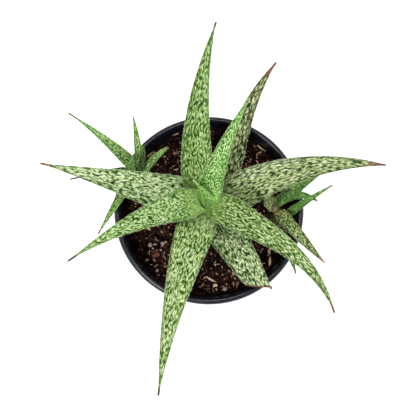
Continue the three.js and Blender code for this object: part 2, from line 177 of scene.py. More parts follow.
# %% [markdown]
# ## The leaves' measures
# Each leaf is a tapering blade. It starts near its stem, leads off in a heading that bends along its length,
# and rises at a slope that changes from root to tip. These are the measures that the solids were built from,
# in millimetres and degrees, so every finer leaf lies in the place of its own solid. Courses, lengths, widths
# and tapers began as a least squares fit of each outline to points read off the photograph, and were rounded
# or set again. Heights and slopes are guesses. The lists run from the innermost leaf outwards,
# because each leaf makes room for those inside it.

# %% Leaf measures
STEMS = {"main": (0.6, 3.9), "left": (-39.4, 23.3), "right": (37.4, 1.1)}
FIELDS = ("root", "heading", "bend", "rise", "length", "width", "thick", "channel", "full", "taper", "skin",
          "tip")
LEAVES = {
    "main": {
        "leaf_young": ((-0.3, -1.9, 101), 122.6, 19.2, (68, 56), 28, 7, 2, 2.4, 1.37, 1.7, "sprout", 1),
        "leaf_inner": ((-1.8, -1.9, 101), 75, -21, (66, 44), 86.8, 12.9, 3, 3, 1.12, 1, "inner", 2),
        "leaf_front_right": ((0, -0.2, 102.5), -39, -34, (46, -6),
                             102, 17.2, 4.6, 1.6, 1.12, 1.03, "front_right", 6),
        "leaf_front_left": ((-4.5, -0.1, 104), -160.2, 19.4, (46, 20),
                            94, 16.8, 4.6, 2.2, 1.19, 1.21, "front_left", 7),
        "leaf_back": ((-5.5, 2.4, 97), 98.9, -29.4, (42, 34), 105.2, 17.3, 5, 2.4, 1.35, 1.09, "back", 2.5),
        "leaf_front": ((-2.9, -2, 97), -109.6, 14, (36, 20), 121, 21, 5.4, 2.4, 1.13, 1.08, "front", 5),
        "leaf_right": ((3.5, -2, 94), 31.3, -40.4, (34, 8), 101.5, 21.5, 5.6, 2.6, 1.13, 0.93, "right", 9),
        "leaf_back_right": ((3.2, -0.3, 91.5), 68, -19.4, (34, 28),
                            90, 15.5, 4.6, 1.8, 1.12, 0.9, "back_right", 9),
        "leaf_left": ((-0.9, -1.7, 92.5), 168.2, 2, (32, 16), 100, 24.1, 5.6, 2.6, 1.12, 1.13, "left", 6),
        "leaf_cut_front_right": ((0.4, -1.4, 90.5), -62, 4.9, (24, 10),
                                 76.5, 21.1, 4.8, 1.6, 1.38, 0.76, "cut", 0.7),
    },
    "left": {
        "left_pup_leaf_back": ((0.6, -0.2, 93.4), 91, 8, (62, 40), 38, 4.8, 2, 0.9, 1.5, 0.8, "small", 3),
        "left_pup_leaf_small": ((1.7, -0.7, 93.2), 85, -6, (64, 50), 22, 3.6, 1.4, 0.6, 1.6, 0.7, "dim", 2),
        "left_pup_leaf_right": ((2, -2.4, 92), 52, -23, (50, 20), 24.5, 4.3, 1.7, 0.6, 1.8, 0.6, "small", 2),
        "left_pup_leaf_back_left": ((-0.8, -1, 94.2), 138, 11, (50, 16),
                                    54.5, 7.2, 2.8, 1, 1.36, 1.29, "small", 6),
        "left_pup_leaf_front": ((-2.3, -2.2, 93), -116.5, -1, (34, 10),
                                45.5, 5.4, 2.4, 0.8, 1.65, 1.06, "small", 3),
        "left_pup_leaf_left": ((-1, -1.3, 94), -169, 4, (48, 10), 43, 5, 2.2, 0.8, 1.5, 1.3, "dim", 6),
    },
    "right": {
        "right_pup_leaf_young": ((-0.2, 0.2, 92.6), 62, 0, (66, 56), 17.5, 2.4, 1.2, 0.4, 1.4, 1, "dim", 1),
        "right_pup_leaf_blunt": ((0.4, 0.4, 92.6), 150, 0, (50, 30),
                                 14, 7.6, 2.4, 1.2, 2.4, 0.5, "pale", 0.1),
        "right_pup_leaf_right": ((-1, 1.4, 92), 44, -80, (40, -4), 28.6, 6.2, 2.4, 1.4, 1.6, 0.8, "young", 4),
        "right_pup_leaf_back_right": ((1, 0.8, 92), 49, -26, (40, 14),
                                      37.5, 7.6, 2.2, 0.9, 2, 0.65, "young", 3),
        "right_pup_leaf_high": ((6.2, -4.1, 82), 29.5, -0.5, (88, 14),
                                46.8, 4.9, 2.2, 1.4, 1.5, 0.84, "young", 4),
        "right_pup_leaf_front_right": ((1, -1, 92), -56, 7, (36, 14),
                                       45, 7.6, 2.6, 0.8, 1.55, 0.9, "olive", 3.5),
        "right_pup_leaf_front": ((-2.8, -1.2, 90.5), -66, -9, (34, 8),
                                 43, 6.4, 2.2, 0.8, 1.6, 0.9, "shade", 3),
    },
}
leaves = {}
for group, rows in LEAVES.items():
    for name, row in rows.items():
        leaves[name] = dict(zip(FIELDS, row), group=group, stem=STEMS[group], seed=7 * len(leaves) + 3)
leaves["leaf_right"]["roll"] = (-4, -6)
leaves["leaf_front_right"]["sway"] = 18.6
leaves["leaf_back_right"]["sway"] = 10.9
leaves["right_pup_leaf_blunt"]["cut"] = 0.72
print("leaves", len(leaves))

# %% [markdown]
# ## A leaf's form
# Across, an aloe leaf is a shallow channel above and a full belly below, and both faces meet at the margin.
# Along, it widens a little over the root and then runs out to a fine tip. A flat grid has just the right
# layout for this: its long direction becomes the leaf's length, and its short one wraps once round the blade.
# Small pale teeth stand along the margins, so every second margin point is drawn outwards and forwards.

# %% Leaf centre line and outline
WIDEST = 0.16
BASE_WIDTH = 0.7
BASE_THICKNESS = 0.6
BASE_CHANNEL = 1.5
THINNING = 0.55
BELLY_FULL = 2.4
BELLY_FOLLOWS = 0.8
MARGIN_TURN = 0.2


def mix(a, b, share):
    return a + (b - a) * share


def direction(leaf, t):
    sway = leaf.get("sway", 0) * math.sin(math.pi * t)
    heading = math.radians(leaf["heading"] + leaf["bend"] * t + sway)
    rise = math.radians(mix(*leaf["rise"], t))
    return Vector((math.cos(rise) * math.cos(heading), math.cos(rise) * math.sin(heading), math.sin(rise)))


def centre_line(leaf, steps):
    place = Vector((leaf["stem"][0], leaf["stem"][1], 0)) + Vector(leaf["root"])
    stations = []
    for i in range(steps + 1):
        ahead = direction(leaf, i / steps)
        side = Vector((0, 0, 1)).cross(ahead).normalized()
        side.rotate(Quaternion(ahead, math.radians(mix(*leaf.get("roll", (0, 0)), i / steps))))
        stations.append((place.copy(), ahead, side, ahead.cross(side)))
        place += (ahead + direction(leaf, (i + 1) / steps)).normalized() * (leaf["length"] / steps)
    return stations


def width_share(leaf, t):
    if t < WIDEST:
        return mix(BASE_WIDTH, 1, math.sin(math.pi / 2 * t / WIDEST))
    return max(0, 1 - ((t - WIDEST) / (1 - WIDEST)) ** leaf["full"]) ** leaf["taper"]


def face_height(leaf, t, across, under):
    young = max(0, 1 - t / WIDEST)
    channel = leaf["channel"] * width_share(leaf, t) * mix(1, BASE_CHANNEL, young)
    thick = leaf["thick"] * mix(1, BASE_THICKNESS, young) * max(0, 1 - t) ** THINNING
    hollow = 1 - across ** 2
    if not under:
        return -channel * hollow
    belly = 1 - abs(across) ** BELLY_FULL
    return -(channel * BELLY_FOLLOWS + thick) * belly - MARGIN_TURN * channel * hollow


# %% Leaf mesh from a grid
AROUND = 24
TOOTH_SPACING = 1.1
TEETH = {"main": 0.65, "left": 0.35, "right": 0.35}
BLUNT = {"main": 0.55, "left": 0.4, "right": 0.4}
SHORTEST_TOOTH = 0.55
LONGEST_TOOTH = 1.15
TOOTH_LEAN = 0.6
MARGIN = 0.999
PATTERN_STEP = 200
ROOM = 0.45
ROOM_STEPS = 60
MARGIN_ROOM = 0.2
STEEP = 1.7
WELD = 0.002


def half_width(leaf, t):
    tip = BLUNT[leaf["group"]] * math.sqrt(min(1, (1 - t) * leaf["length"]))
    return max(leaf["width"] / 2 * width_share(leaf, t), tip)


def stub_end(t, end, start):
    """How much is left of a stub's width or height where it is rounded off, from start to its end."""
    run = max(0, t - start * end) / ((1 - start) * end)
    return math.sqrt(max(0.02, 1 - run ** 2.5))


def leaf_mesh(leaf, grow=0.0):
    """The blade in millimetres. With grow it is larger all round and has no teeth: the room it needs."""
    end = leaf.get("cut", 1)
    teeth = round(end * leaf["length"] / TOOTH_SPACING)
    steps = ROOM_STEPS if grow else 2 * teeth
    stations = centre_line(leaf, round(steps / end))
    tooth = TEETH[leaf["group"]]
    luck = random.Random(leaf["seed"])
    reach = {(i, s): tooth * luck.uniform(SHORTEST_TOOTH, LONGEST_TOOTH) * (i % 2)
             for i in range(steps + 1) for s in (-1, 1)}
    bm = bmesh.new()
    bmesh.ops.create_grid(bm, x_segments=steps, y_segments=AROUND, size=0.5)
    maps = [bm.loops.layers.uv.new(name) for name in ("blade", "edge", "tip")]
    for face in bm.faces:
        under = face.calc_center_median().y > 0
        for corner in face.loops:
            step = round((corner.vert.co.x + 0.5) * steps)
            across = -math.cos(2 * math.pi * (corner.vert.co.y + 0.5))
            t = end * step / steps
            half = half_width(leaf, t)
            inside = (1 - abs(across)) * half
            if inside < 1e-3:
                inside = -reach[step, 1 if across > 0 else -1]
            along = t * leaf["length"] + PATTERN_STEP * leaf["seed"]
            corner[maps[0]].uv = (along * MM, across * half * MM + under)
            corner[maps[1]].uv = (t, inside * MM)
            corner[maps[2]].uv = ((1 - t) * leaf["length"] * MM, leaf["tip"] * MM)
    for vert in bm.verts:
        step = round((vert.co.x + 0.5) * steps)
        turn = vert.co.y + 0.5
        place, ahead, side, up = stations[step]
        t = end * step / steps
        across = -math.cos(2 * math.pi * turn)
        height = face_height(leaf, t, across, turn > 0.5)
        half = half_width(leaf, t)
        outward = 0.0
        forward = 0.0
        if end < 1:
            height *= stub_end(t, end, 0.7)
            half *= stub_end(t, end, 0.6)
        if grow:
            outward = grow + MARGIN_ROOM
            height += STEEP * grow * (-1 if turn > 0.5 else 1) * (abs(across) < MARGIN)
        elif abs(across) > MARGIN:
            outward = reach[step, 1 if across > 0 else -1] * math.sqrt(width_share(leaf, t))
            forward = TOOTH_LEAN * outward
        sideways = across * half + math.copysign(outward, across)
        vert.co = place + side * sideways + up * height + ahead * forward
    bmesh.ops.remove_doubles(bm, verts=bm.verts, dist=WELD)
    bmesh.ops.dissolve_degenerate(bm, dist=WELD, edges=bm.edges)
    bmesh.ops.holes_fill(bm, edges=[e for e in bm.edges if e.is_boundary], sides=0)
    bmesh.ops.recalc_face_normals(bm, faces=bm.faces)
    return bm


# %% [markdown]
# ## Room between leaves
# In the heart of a rosette the leaves clasp each other. Each leaf is therefore cut clear of the stem and of
# a slightly larger copy of every leaf inside it, with a boolean, and only its largest remaining part is kept.

# %% Cutting a leaf clear
def cut_with(piece, cutters):
    for cutter in cutters:
        clear = piece.modifiers.new("clear", "BOOLEAN")
        clear.operation = "DIFFERENCE"
        clear.solver = "MANIFOLD"
        clear.object = cutter
    shown = piece.evaluated_get(bpy.context.evaluated_depsgraph_get())
    mesh = bpy.data.meshes.new_from_object(shown)
    piece.modifiers.clear()
    piece.data = mesh


def keep_largest(bm):
    left = set(bm.faces)
    parts = []
    while left:
        part = set()
        edge = [left.pop()]
        while edge:
            face = edge.pop()
            part.add(face)
            for near in {f for e in face.edges for f in e.link_faces} & left:
                left.remove(near)
                edge.append(near)
        parts.append(part)
    parts.sort(key=lambda part: sum(f.calc_area() for f in part))
    small = [face for part in parts[:-1] for face in part]
    bmesh.ops.delete(bm, geom=small, context="FACES")
    return len(parts)


# %% [markdown]
# ## Leaf skin
# The skin of this plant is waxy and satin. Cream flecks, under one millimetre wide and one to three long, lie
# along the leaf and run into each other, and dark green shows between them. Old outer leaves have coarser,
# whiter flecks on a greyer ground, young ones finer flecks on a yellow green. The pattern follows the leaf,
# so it reads the leaf's own maps: place on the blade, share of the length and distance from the margin, and
# distance from the tip.

# %% Leaf skin looks
# tones from the dark gaps to the palest flecks, a fleck's length and width in millimetres, and the colours
# of the clasping base and of the tip. Where they are given, two more values set the share of the length that
# the base's colour reaches up to and how strong it is; with them the shade skin spreads its near-black base
# far up the leaf as painted shadow. The tones of 13 skins were balanced by a scratch program, which compared
# how dark and how pale each leaf is in the photograph and in the render. Those of dim, young and pale were
# set with the same measures in view.
SKINS = {
    "sprout": {"tones": ("#405818", "#7CB440", "#B0E870", "#D8F4A0", "#F0F8D8"), "fleck": (1.38, 0.6),
               "base": "#A8D870", "tip": "#D8F0B0"},
    "inner": {"tones": ("#205808", "#487C24", "#78AC48", "#B0D880", "#E0F4C4"), "fleck": (1.72, 0.6),
              "base": "#9CCB68", "tip": "#6E7A3A"},
    "front_left": {"tones": ("#1C4008", "#4C8028", "#94BC64", "#C8E898", "#ECF4CC"), "fleck": (1.89, 0.64),
                   "base": "#A8CC74", "tip": "#5E4640"},
    "front_right": {"tones": ("#143804", "#3C641C", "#749448", "#A0B870", "#D8E4B4"), "fleck": (2.24, 0.66),
                    "base": "#7C9E50", "tip": "#6A4A34"},
    "back": {"tones": ("#103804", "#386418", "#6C9040", "#9CB86C", "#C0D49C"), "fleck": (2.32, 0.68),
             "base": "#7C8F54", "tip": "#3E2430"},
    "front": {"tones": ("#144004", "#447024", "#94B460", "#C8DC98", "#E4F0C8"), "fleck": (2.58, 0.72),
              "base": "#A0B470", "tip": "#5A4028"},
    "right": {"tones": ("#103008", "#3C5820", "#849858", "#B4C088", "#D0D8B0"), "fleck": (2.75, 0.72),
              "base": "#5E5A38", "tip": "#6E3826"},
    "back_right": {"tones": ("#101808", "#283814", "#647440", "#A4B070", "#D8E0B0"), "fleck": (2.75, 0.72),
                   "base": "#524C30", "tip": "#7C2C28"},
    "left": {"tones": ("#1C380C", "#4C7030", "#9CB878", "#D0E0A8", "#E0ECC8"), "fleck": (2.49, 0.8),
             "base": "#5E5A38", "tip": "#8A3C2E"},
    "cut": {"tones": ("#0C2404", "#385424", "#84A060", "#B8C890", "#E4ECCC"), "fleck": (2.32, 0.76),
            "base": "#5A6838", "tip": "#5E3426"},
    "small": {"tones": ("#244810", "#548830", "#78A454", "#A0BC70", "#D4E8B0"), "fleck": (1.46, 0.62),
              "base": "#5E8A3E", "tip": "#4A4028"},
    # dim: the small skin's pattern in darker, flatter tones, as painted shade for pup leaves that lie in
    # shadow
    "dim": {"tones": ("#26381C", "#3E5628", "#566E3C", "#748A54", "#90A468"), "fleck": (1.46, 0.62),
            "base": "#46582C", "tip": "#3A3020"},
    "young": {"tones": ("#34601C", "#507F34", "#6C9A48", "#84B05C", "#A6CE80"), "fleck": (1.72, 0.6),
              "base": "#6C9440", "tip": "#6E5A36"},
    "olive": {"tones": ("#181C0C", "#484828", "#6C8848", "#98B068", "#C8E098"), "fleck": (1.38, 0.58),
              "base": "#7A4A38", "tip": "#98302A"},
    # shade: its near-black base colour, spread up most of the leaf and darkest at the root, is painted shadow
    # for the shade this leaf lies in
    "shade": {"tones": ("#080C04", "#302814", "#747840", "#A4B464", "#E0F098"), "fleck": (1.46, 0.62),
              "base": "#080604", "tip": "#7A4030", "base_reach": 1.1, "base_strength": 1},
    "pale": {"tones": ("#6A7A46", "#7E9058", "#98AC70", "#AEC488", "#CADEA4"), "fleck": (1.55, 0.9),
             "base": "#8A9A60", "tip": "#A8BC7C"},
}
LEVELS = (-0.15, -0.075, 0, 0.075, 0.15)
MIDDLE = 0.53


def leaf_skin(name, look):
    material, tree, shader = new_material(name + "_waxy_leaf_skin")
    blade = node(tree, "ShaderNodeUVMap", uv_map="blade")
    edge = node(tree, "ShaderNodeSeparateXYZ", {0: node(tree, "ShaderNodeUVMap", uv_map="edge")})
    tip = node(tree, "ShaderNodeSeparateXYZ", {0: node(tree, "ShaderNodeUVMap", uv_map="tip")})
    # Flecks wander a little, so the coordinates are bent by a broad noise before the pattern is drawn
    broad = node(tree, "ShaderNodeTexNoise", {"Vector": blade, "Scale": 1 / (5 * MM), "Detail": 2})
    bend = node(tree, "ShaderNodeVectorMath", {0: broad.outputs["Color"], 1: (0.5, 0.5, 0.5)},
                operation="SUBTRACT")
    shift = node(tree, "ShaderNodeVectorMath", {0: bend, 1: (1.5 * MM, 3 * MM, 0)}, operation="MULTIPLY")
    bent = node(tree, "ShaderNodeVectorMath", {0: blade, 1: shift}, operation="ADD")
    long, wide = look["fleck"]
    laid = node(tree, "ShaderNodeMapping", {"Vector": bent, "Scale": (1 / (long * MM), 1 / (wide * MM), 1)})
    soft = node(tree, "ShaderNodeTexNoise", {"Vector": laid, "Scale": 1, "Detail": 2.5, "Roughness": 0.55,
                                             "Distortion": 0.25})
    cells = node(tree, "ShaderNodeTexVoronoi", {"Vector": laid, "Scale": 0.75}, voronoi_dimensions="2D")
    dots = node(tree, "ShaderNodeMath", {0: cells.outputs["Distance"], 1: -0.32, 2: 0.17},
                operation="MULTIPLY_ADD")
    patch = node(tree, "ShaderNodeTexNoise", {"Vector": blade, "Scale": 1 / (9 * MM), "Detail": 3})
    broken = node(tree, "ShaderNodeMath", {0: patch, 1: 0.26, 2: dots}, operation="MULTIPLY_ADD")
    drawn = node(tree, "ShaderNodeMath", {0: soft, 1: broken}, operation="ADD")
    level = node(tree, "ShaderNodeMath", {0: drawn, 1: -0.13}, operation="ADD")
    # Near the base the skin is younger and its flecks are fainter
    grown = node(tree, "ShaderNodeMapRange", {0: edge.outputs["X"], 1: 0.03, 2: 0.3, 3: 0.85, 4: 1.1})
    speck = node(tree, "ShaderNodeMix", {0: grown, 2: MIDDLE, 3: level})
    tone = node(tree, "ShaderNodeValToRGB", {"Fac": speck},
                stops=[(MIDDLE + step, colour) for step, colour in zip(LEVELS, look["tones"])])
    # A saturated dark green zone runs inside the margin, and only the teeth are pale
    line = node(tree, "ShaderNodeMapRange", {0: edge.outputs["Y"], 1: 0.5 * MM, 2: 1.4 * MM, 3: 0.45, 4: 0})
    lined = blend(tree, line, tone, look["tones"][1])
    thread = node(tree, "ShaderNodeMapRange", {0: edge.outputs["Y"], 1: -0.45 * MM, 2: -0.02 * MM, 3: 0.9,
                                               4: 0})
    margin = blend(tree, thread, lined, "#E4EEC0")
    # The base's own colour runs up from the root. On the outer leaves it is darker and browner: partly the
    # real colour of old bases, partly painted shade from the leaves over them.
    root = node(tree, "ShaderNodeMapRange", {0: edge.outputs["X"], 1: 0.02, 2: look.get("base_reach", 0.16),
                                             3: look.get("base_strength", 0.6), 4: 0})
    based = blend(tree, root, margin, look["base"])
    # The tip dries, in spots at first
    dry = node(tree, "ShaderNodeMath", {0: tip.outputs["X"], 1: tip.outputs["Y"]}, operation="DIVIDE")
    uneven = node(tree, "ShaderNodeMath", {0: soft, 1: 1.6, 2: dry}, operation="MULTIPLY_ADD")
    burnt = node(tree, "ShaderNodeMapRange", {0: uneven, 1: 1.4, 2: 2.1, 3: 0.95, 4: 0})
    tinted = blend(tree, burnt, based, look["tip"])
    tree.links.new(tinted, shader.inputs["Base Color"])
    shader.inputs["Specular IOR Level"].default_value = 0.3
    # Flecks stand a little proud of the wax between them
    gloss = node(tree, "ShaderNodeMapRange", {0: speck, 1: MIDDLE, 2: MIDDLE + 0.15, 3: 0.42, 4: 0.55})
    tree.links.new(gloss.outputs[0], shader.inputs["Roughness"])
    bump = node(tree, "ShaderNodeBump", {"Height": speck, "Strength": 0.3, "Distance": 0.2 * MM})
    tree.links.new(bump.outputs[0], shader.inputs["Normal"])
    return material


skins = {name: leaf_skin(name, look) for name, look in SKINS.items()}
print("leaf skins", len(skins))

# %% [markdown]
# ## Building the rosettes
# The pieces are made group by group, innermost leaf first. The cut leaf at the front right is trimmed flat
# with a bisecting plane, as a knife would do it. Its end gets a dry brown callus, and one corner of it a
# small crumpled curl.

# %% Callus
callus, callus_tree, callus_shader = new_material("dried_leaf_cut")
spots = node(callus_tree, "ShaderNodeTexNoise",
             {"Vector": node(callus_tree, "ShaderNodeTexCoord").outputs["Object"], "Scale": 1 / (1.5 * MM)})
crust = node(callus_tree, "ShaderNodeValToRGB", {"Fac": spots}, stops=[(0.35, "#5A3A2A"), (0.65, "#A07A5C")])
callus_tree.links.new(crust.outputs[0], callus_shader.inputs["Base Color"])
callus_shader.inputs["Roughness"].default_value = 0.8

# %% Cut end
CUT_AT = Vector((26.4, -44.5, 0))
CUT_HEADING = math.radians(-95)
CURL_RADIUS = 0.9
CURL_CRUMPLE = 0.4


def trim_leaf(bm, leaf):
    """Cuts the blade off at the plane and gives the cut face and a curl at its corner the second material."""
    normal = Vector((math.cos(CUT_HEADING), math.sin(CUT_HEADING), 0))
    bmesh.ops.bisect_plane(bm, geom=bm.verts[:] + bm.edges[:] + bm.faces[:], plane_co=CUT_AT,
                           plane_no=normal, clear_outer=True)
    rim = [e for e in bm.edges if e.is_boundary]
    for face in bmesh.ops.holes_fill(bm, edges=rim, sides=0)["faces"]:
        face.material_index = 1
    tip_map = bm.loops.layers.uv["tip"]
    for face in bm.faces:
        for corner in face.loops:
            corner[tip_map].uv = ((CUT_AT - corner.vert.co).dot(normal) * MM, leaf["tip"] * MM)
    end = max((v for e in rim for v in e.verts), key=lambda v: v.co.x)
    curl = bmesh.ops.create_icosphere(bm, subdivisions=3, radius=CURL_RADIUS,
                                      matrix=Matrix.Translation(end.co))["verts"]
    for vert in curl:
        vert.co += noise.noise_vector(vert.co) * CURL_CRUMPLE
        for face in vert.link_faces:
            face.material_index = 1


# %% Leaves
# foot and top radius, low and high end of each stem, in millimetres
STEM_SIZES = {"main": (6.2, 3.4, 56, 101), "left": (2.7, 2, 72, 94), "right": (3.2, 2.2, 72, 93)}
STEM_ROOM = 0.3
SMOOTH_UP_TO = 50

for group in LEAVES:
    foot, top, low, high = STEM_SIZES[group]
    x, y = STEMS[group]
    bm = bmesh.new()
    bmesh.ops.create_cone(bm, cap_ends=True, segments=24, radius1=foot + STEM_ROOM, radius2=top + STEM_ROOM,
                          depth=high - low, matrix=Matrix.Translation((x, y, (low + high) / 2 + STEM_ROOM)))
    cutters = [as_object("room_" + group, bm)]
    for name in LEAVES[group]:
        leaf = leaves[name]
        bm = leaf_mesh(leaf)
        piece = as_object(name + "_blade", bm)
        cut_with(piece, cutters)
        bm = bmesh.new()
        bm.from_mesh(piece.data)
        parts = keep_largest(bm)
        piece.data.materials.clear()
        piece.data.materials.append(skins[leaf["skin"]])
        if name == "leaf_cut_front_right":
            piece.data.materials.append(callus)
            trim_leaf(bm, leaf)
        for face in bm.faces:
            face.smooth = True
        bmesh.ops.scale(bm, vec=(MM, MM, MM), verts=bm.verts)
        bm.to_mesh(piece.data)
        bm.free()
        piece.data.set_sharp_from_angle(angle=math.radians(SMOOTH_UP_TO))
        cutters.append(as_object("room_" + name, leaf_mesh(leaf, ROOM)))
        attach(piece, "root")
        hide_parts(name)
        print(name, "faces", len(piece.data.polygons), "parts", parts)
    for cutter in cutters:
        bpy.data.objects.remove(cutter)

# %% [markdown]
# ## Pot
# A nursery pot is injection moulded from black polypropylene: thin, satin, with a rolled rim whose crest is
# polished by handling and catches one thin line of light. A chain of points is the section through its wall,
# and a full spin round the axis makes the pot. Its drain holes are then cut with a boolean.

# %% Pot section
POT_HEIGHT = 95
RIM = 53.5
BASE = 38
WALL = 1.4
UNDER_RIM = 51.3
FLOOR = 2
SPIN_STEPS = 144


def wall_radius(z):
    return mix(BASE, UNDER_RIM, z / POT_HEIGHT)


SECTION = [
    (0, 0), (BASE - 1.2, 0), (BASE - 0.3, 0.3), (BASE, 1), (wall_radius(30), 30), (wall_radius(60), 60),
    (wall_radius(92.4), 92.4), (RIM - 1.3, 92.4), (RIM - 1.9, 84.7), (RIM - 1.75, 84.5), (RIM - 0.75, 84.5),
    (RIM - 0.6, 84.8), (RIM - 0.02, 92.8), (RIM - 0.3, 93.8), (RIM - 0.8, 94.35), (RIM - 1.4, 94.75),
    (RIM - 2, 95), (RIM - 2.4, 94.95), (RIM - 2.9, 94.5), (RIM - 3.3, 94.15),
    (wall_radius(95) - WALL + 0.1, 93.9), (wall_radius(93) - WALL, 93), (wall_radius(60) - WALL, 60),
    (wall_radius(30) - WALL, 30), (wall_radius(3.5) - WALL, 3.5), (wall_radius(2) - WALL - 1, FLOOR),
    (0, FLOOR),
]
bm = bmesh.new()
chain = [bm.verts.new((r, 0, z)) for r, z in SECTION]
links = [bm.edges.new(pair) for pair in zip(chain, chain[1:])]
bmesh.ops.spin(bm, geom=chain + links, cent=(0, 0, 0), axis=(0, 0, 1), angle=2 * math.pi, steps=SPIN_STEPS,
               use_merge=True)
bmesh.ops.remove_doubles(bm, verts=bm.verts, dist=0.01)
bmesh.ops.recalc_face_normals(bm, faces=bm.faces)
pot = as_object("nursery_pot", bm)

DRAINS = 8
DRAIN_RADIUS = 4
DRAIN_DEPTH = 6
DRAIN_RING = 29
bm = bmesh.new()
for i in range(DRAINS):
    turn = Matrix.Rotation(2 * math.pi * i / DRAINS, 4, "Z")
    bmesh.ops.create_cone(bm, cap_ends=True, segments=32, radius1=DRAIN_RADIUS, radius2=DRAIN_RADIUS,
                          depth=DRAIN_DEPTH, matrix=turn @ Matrix.Translation((DRAIN_RING, 0, FLOOR / 2)))
drills = as_object("drills", bm)
cut_with(pot, [drills])
bpy.data.objects.remove(drills)
print("pot faces", len(pot.data.polygons))

# %% [markdown]
# ### Moulded polypropylene
# Carbon black makes it nearly black with a faint blue cast. Its satin mould finish scatters the light, dust
# and dried soil dull it in patches, and the inner wall has brown splashes near the soil.

# %% Polypropylene
SPLASHED_WITHIN = 49.8 * MM
SPLASHED_ABOVE = 84.8 * MM
poly, poly_tree, poly_shader = new_material("black_moulded_polypropylene")
where = node(poly_tree, "ShaderNodeTexCoord").outputs["Object"]
dust = node(poly_tree, "ShaderNodeTexNoise", {"Vector": where, "Scale": 1 / (9 * MM), "Detail": 5,
                                              "Roughness": 0.7})
film = node(poly_tree, "ShaderNodeValToRGB", {"Fac": dust},
            stops=[(0.42, "#0A0D18"), (0.6, "#121624"), (0.78, "#282D3C")])
splash = node(poly_tree, "ShaderNodeTexNoise", {"Vector": where, "Scale": 1 / (2.2 * MM), "Detail": 3})
height = node(poly_tree, "ShaderNodeSeparateXYZ", {0: where})
low = node(poly_tree, "ShaderNodeMapRange", {0: height.outputs["Z"], 1: 86 * MM, 2: 92 * MM, 3: 0.22, 4: 0})
wet = node(poly_tree, "ShaderNodeMath", {0: splash, 1: low}, operation="ADD")
soiled = node(poly_tree, "ShaderNodeMapRange", {0: wet, 1: 0.66, 2: 0.78, 3: 0, 4: 0.8})
away = node(poly_tree, "ShaderNodeVectorMath", {0: where, 1: (1, 1, 0)}, operation="MULTIPLY")
reach = node(poly_tree, "ShaderNodeVectorMath", {0: away}, operation="LENGTH")
inner = node(poly_tree, "ShaderNodeMath", {0: reach.outputs["Value"], 1: SPLASHED_WITHIN},
             operation="LESS_THAN")
upper = node(poly_tree, "ShaderNodeMath", {0: height.outputs["Z"], 1: SPLASHED_ABOVE},
             operation="GREATER_THAN")
mask = node(poly_tree, "ShaderNodeMath", {0: inner, 1: upper}, operation="MULTIPLY")
inside = node(poly_tree, "ShaderNodeMath", {0: soiled, 1: mask}, operation="MULTIPLY")
coat = blend(poly_tree, inside, film, "#3A2A22")
poly_tree.links.new(coat, poly_shader.inputs["Base Color"])
sheen = node(poly_tree, "ShaderNodeMapRange", {0: dust, 1: 0.35, 2: 0.7, 3: 0.22, 4: 0.36})
poly_tree.links.new(sheen.outputs[0], poly_shader.inputs["Roughness"])
grain = node(poly_tree, "ShaderNodeTexNoise", {"Vector": where, "Scale": 1 / (0.5 * MM), "Detail": 2})
relief = node(poly_tree, "ShaderNodeBump", {"Height": grain, "Strength": 0.1, "Distance": 0.05 * MM})
poly_tree.links.new(relief.outputs[0], poly_shader.inputs["Normal"])


# %% Dress the pot
def finish_piece(piece, material, slot, *nodes):
    if material:
        piece.data.materials.clear()
        piece.data.materials.append(material)
    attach(piece, "root")
    if nodes:
        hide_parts(*nodes)


def to_metres(piece, sharp=40):
    piece.data.transform(Matrix.Diagonal((MM, MM, MM, 1)))
    piece.data.shade_smooth()
    piece.data.set_sharp_from_angle(angle=math.radians(sharp))


to_metres(pot, 50)
finish_piece(pot, poly, "pot_plastic", "pot")

# %% [markdown]
# ## Soil
# Potting mix is dark peat with crumbs, shredded bark, fibres and a few white mineral grains. The body is a
# spun disc whose top is pushed into crumbs by noise. The loose bits are simple solids with a few faces each,
# dropped on the same surface by a seeded rule, with the larger ones where the photograph shows them.

# %% Soil body
SOIL_LEVEL = 84
SOIL_TILT = 1.6
SOIL_UPHILL = (0.4, 0.9)
SOIL_SWELL = 0.9
SOIL_RINGS = 110
SOIL_STEPS = 300


def soil_height(x, y):
    tilt = SOIL_TILT * (SOIL_UPHILL[0] * x + SOIL_UPHILL[1] * y) / RIM
    swell = math.sin(0.17 * x + 1.1) * math.cos(0.21 * y - 0.4) + 0.5 * math.sin(0.43 * x - 0.31 * y)
    return SOIL_LEVEL + tilt + SOIL_SWELL * swell


def crumbs(x, y):
    coarse = noise.fractal(Vector((x, y, 3)) / 3.2, 0.7, 2.1, 3)
    clods = 0.55 - noise.voronoi(Vector((x, y, 9)) / 1.7)[0][0]
    return coarse + 1.3 * clods


soil_reach = wall_radius(SOIL_LEVEL - 2) - WALL - 0.3
bottom = FLOOR + 0.3
bm = bmesh.new()
ray = [(soil_reach * i / SOIL_RINGS, SOIL_LEVEL) for i in range(SOIL_RINGS + 1)]
ray += [(wall_radius(bottom) - WALL - 1.3, bottom), (0, bottom)]
chain = [bm.verts.new((r, 0, z)) for r, z in ray]
links = [bm.edges.new(pair) for pair in zip(chain, chain[1:])]
bmesh.ops.spin(bm, geom=chain + links, cent=(0, 0, 0), axis=(0, 0, 1), angle=2 * math.pi, steps=SOIL_STEPS,
               use_merge=True)
bmesh.ops.remove_doubles(bm, verts=bm.verts, dist=0.01)
bmesh.ops.recalc_face_normals(bm, faces=bm.faces)
for vert in bm.verts:
    if vert.co.z > SOIL_LEVEL - 1:
        x, y = vert.co.x, vert.co.y
        vert.co.z = soil_height(x, y) + crumbs(x, y)
soil = as_object("soil_body", bm)
to_metres(soil, 80)
print("soil faces", len(soil.data.polygons))

# %% [markdown]
# ### Peat
# Damp peat is almost black, with brown specks where crumbs have dried.

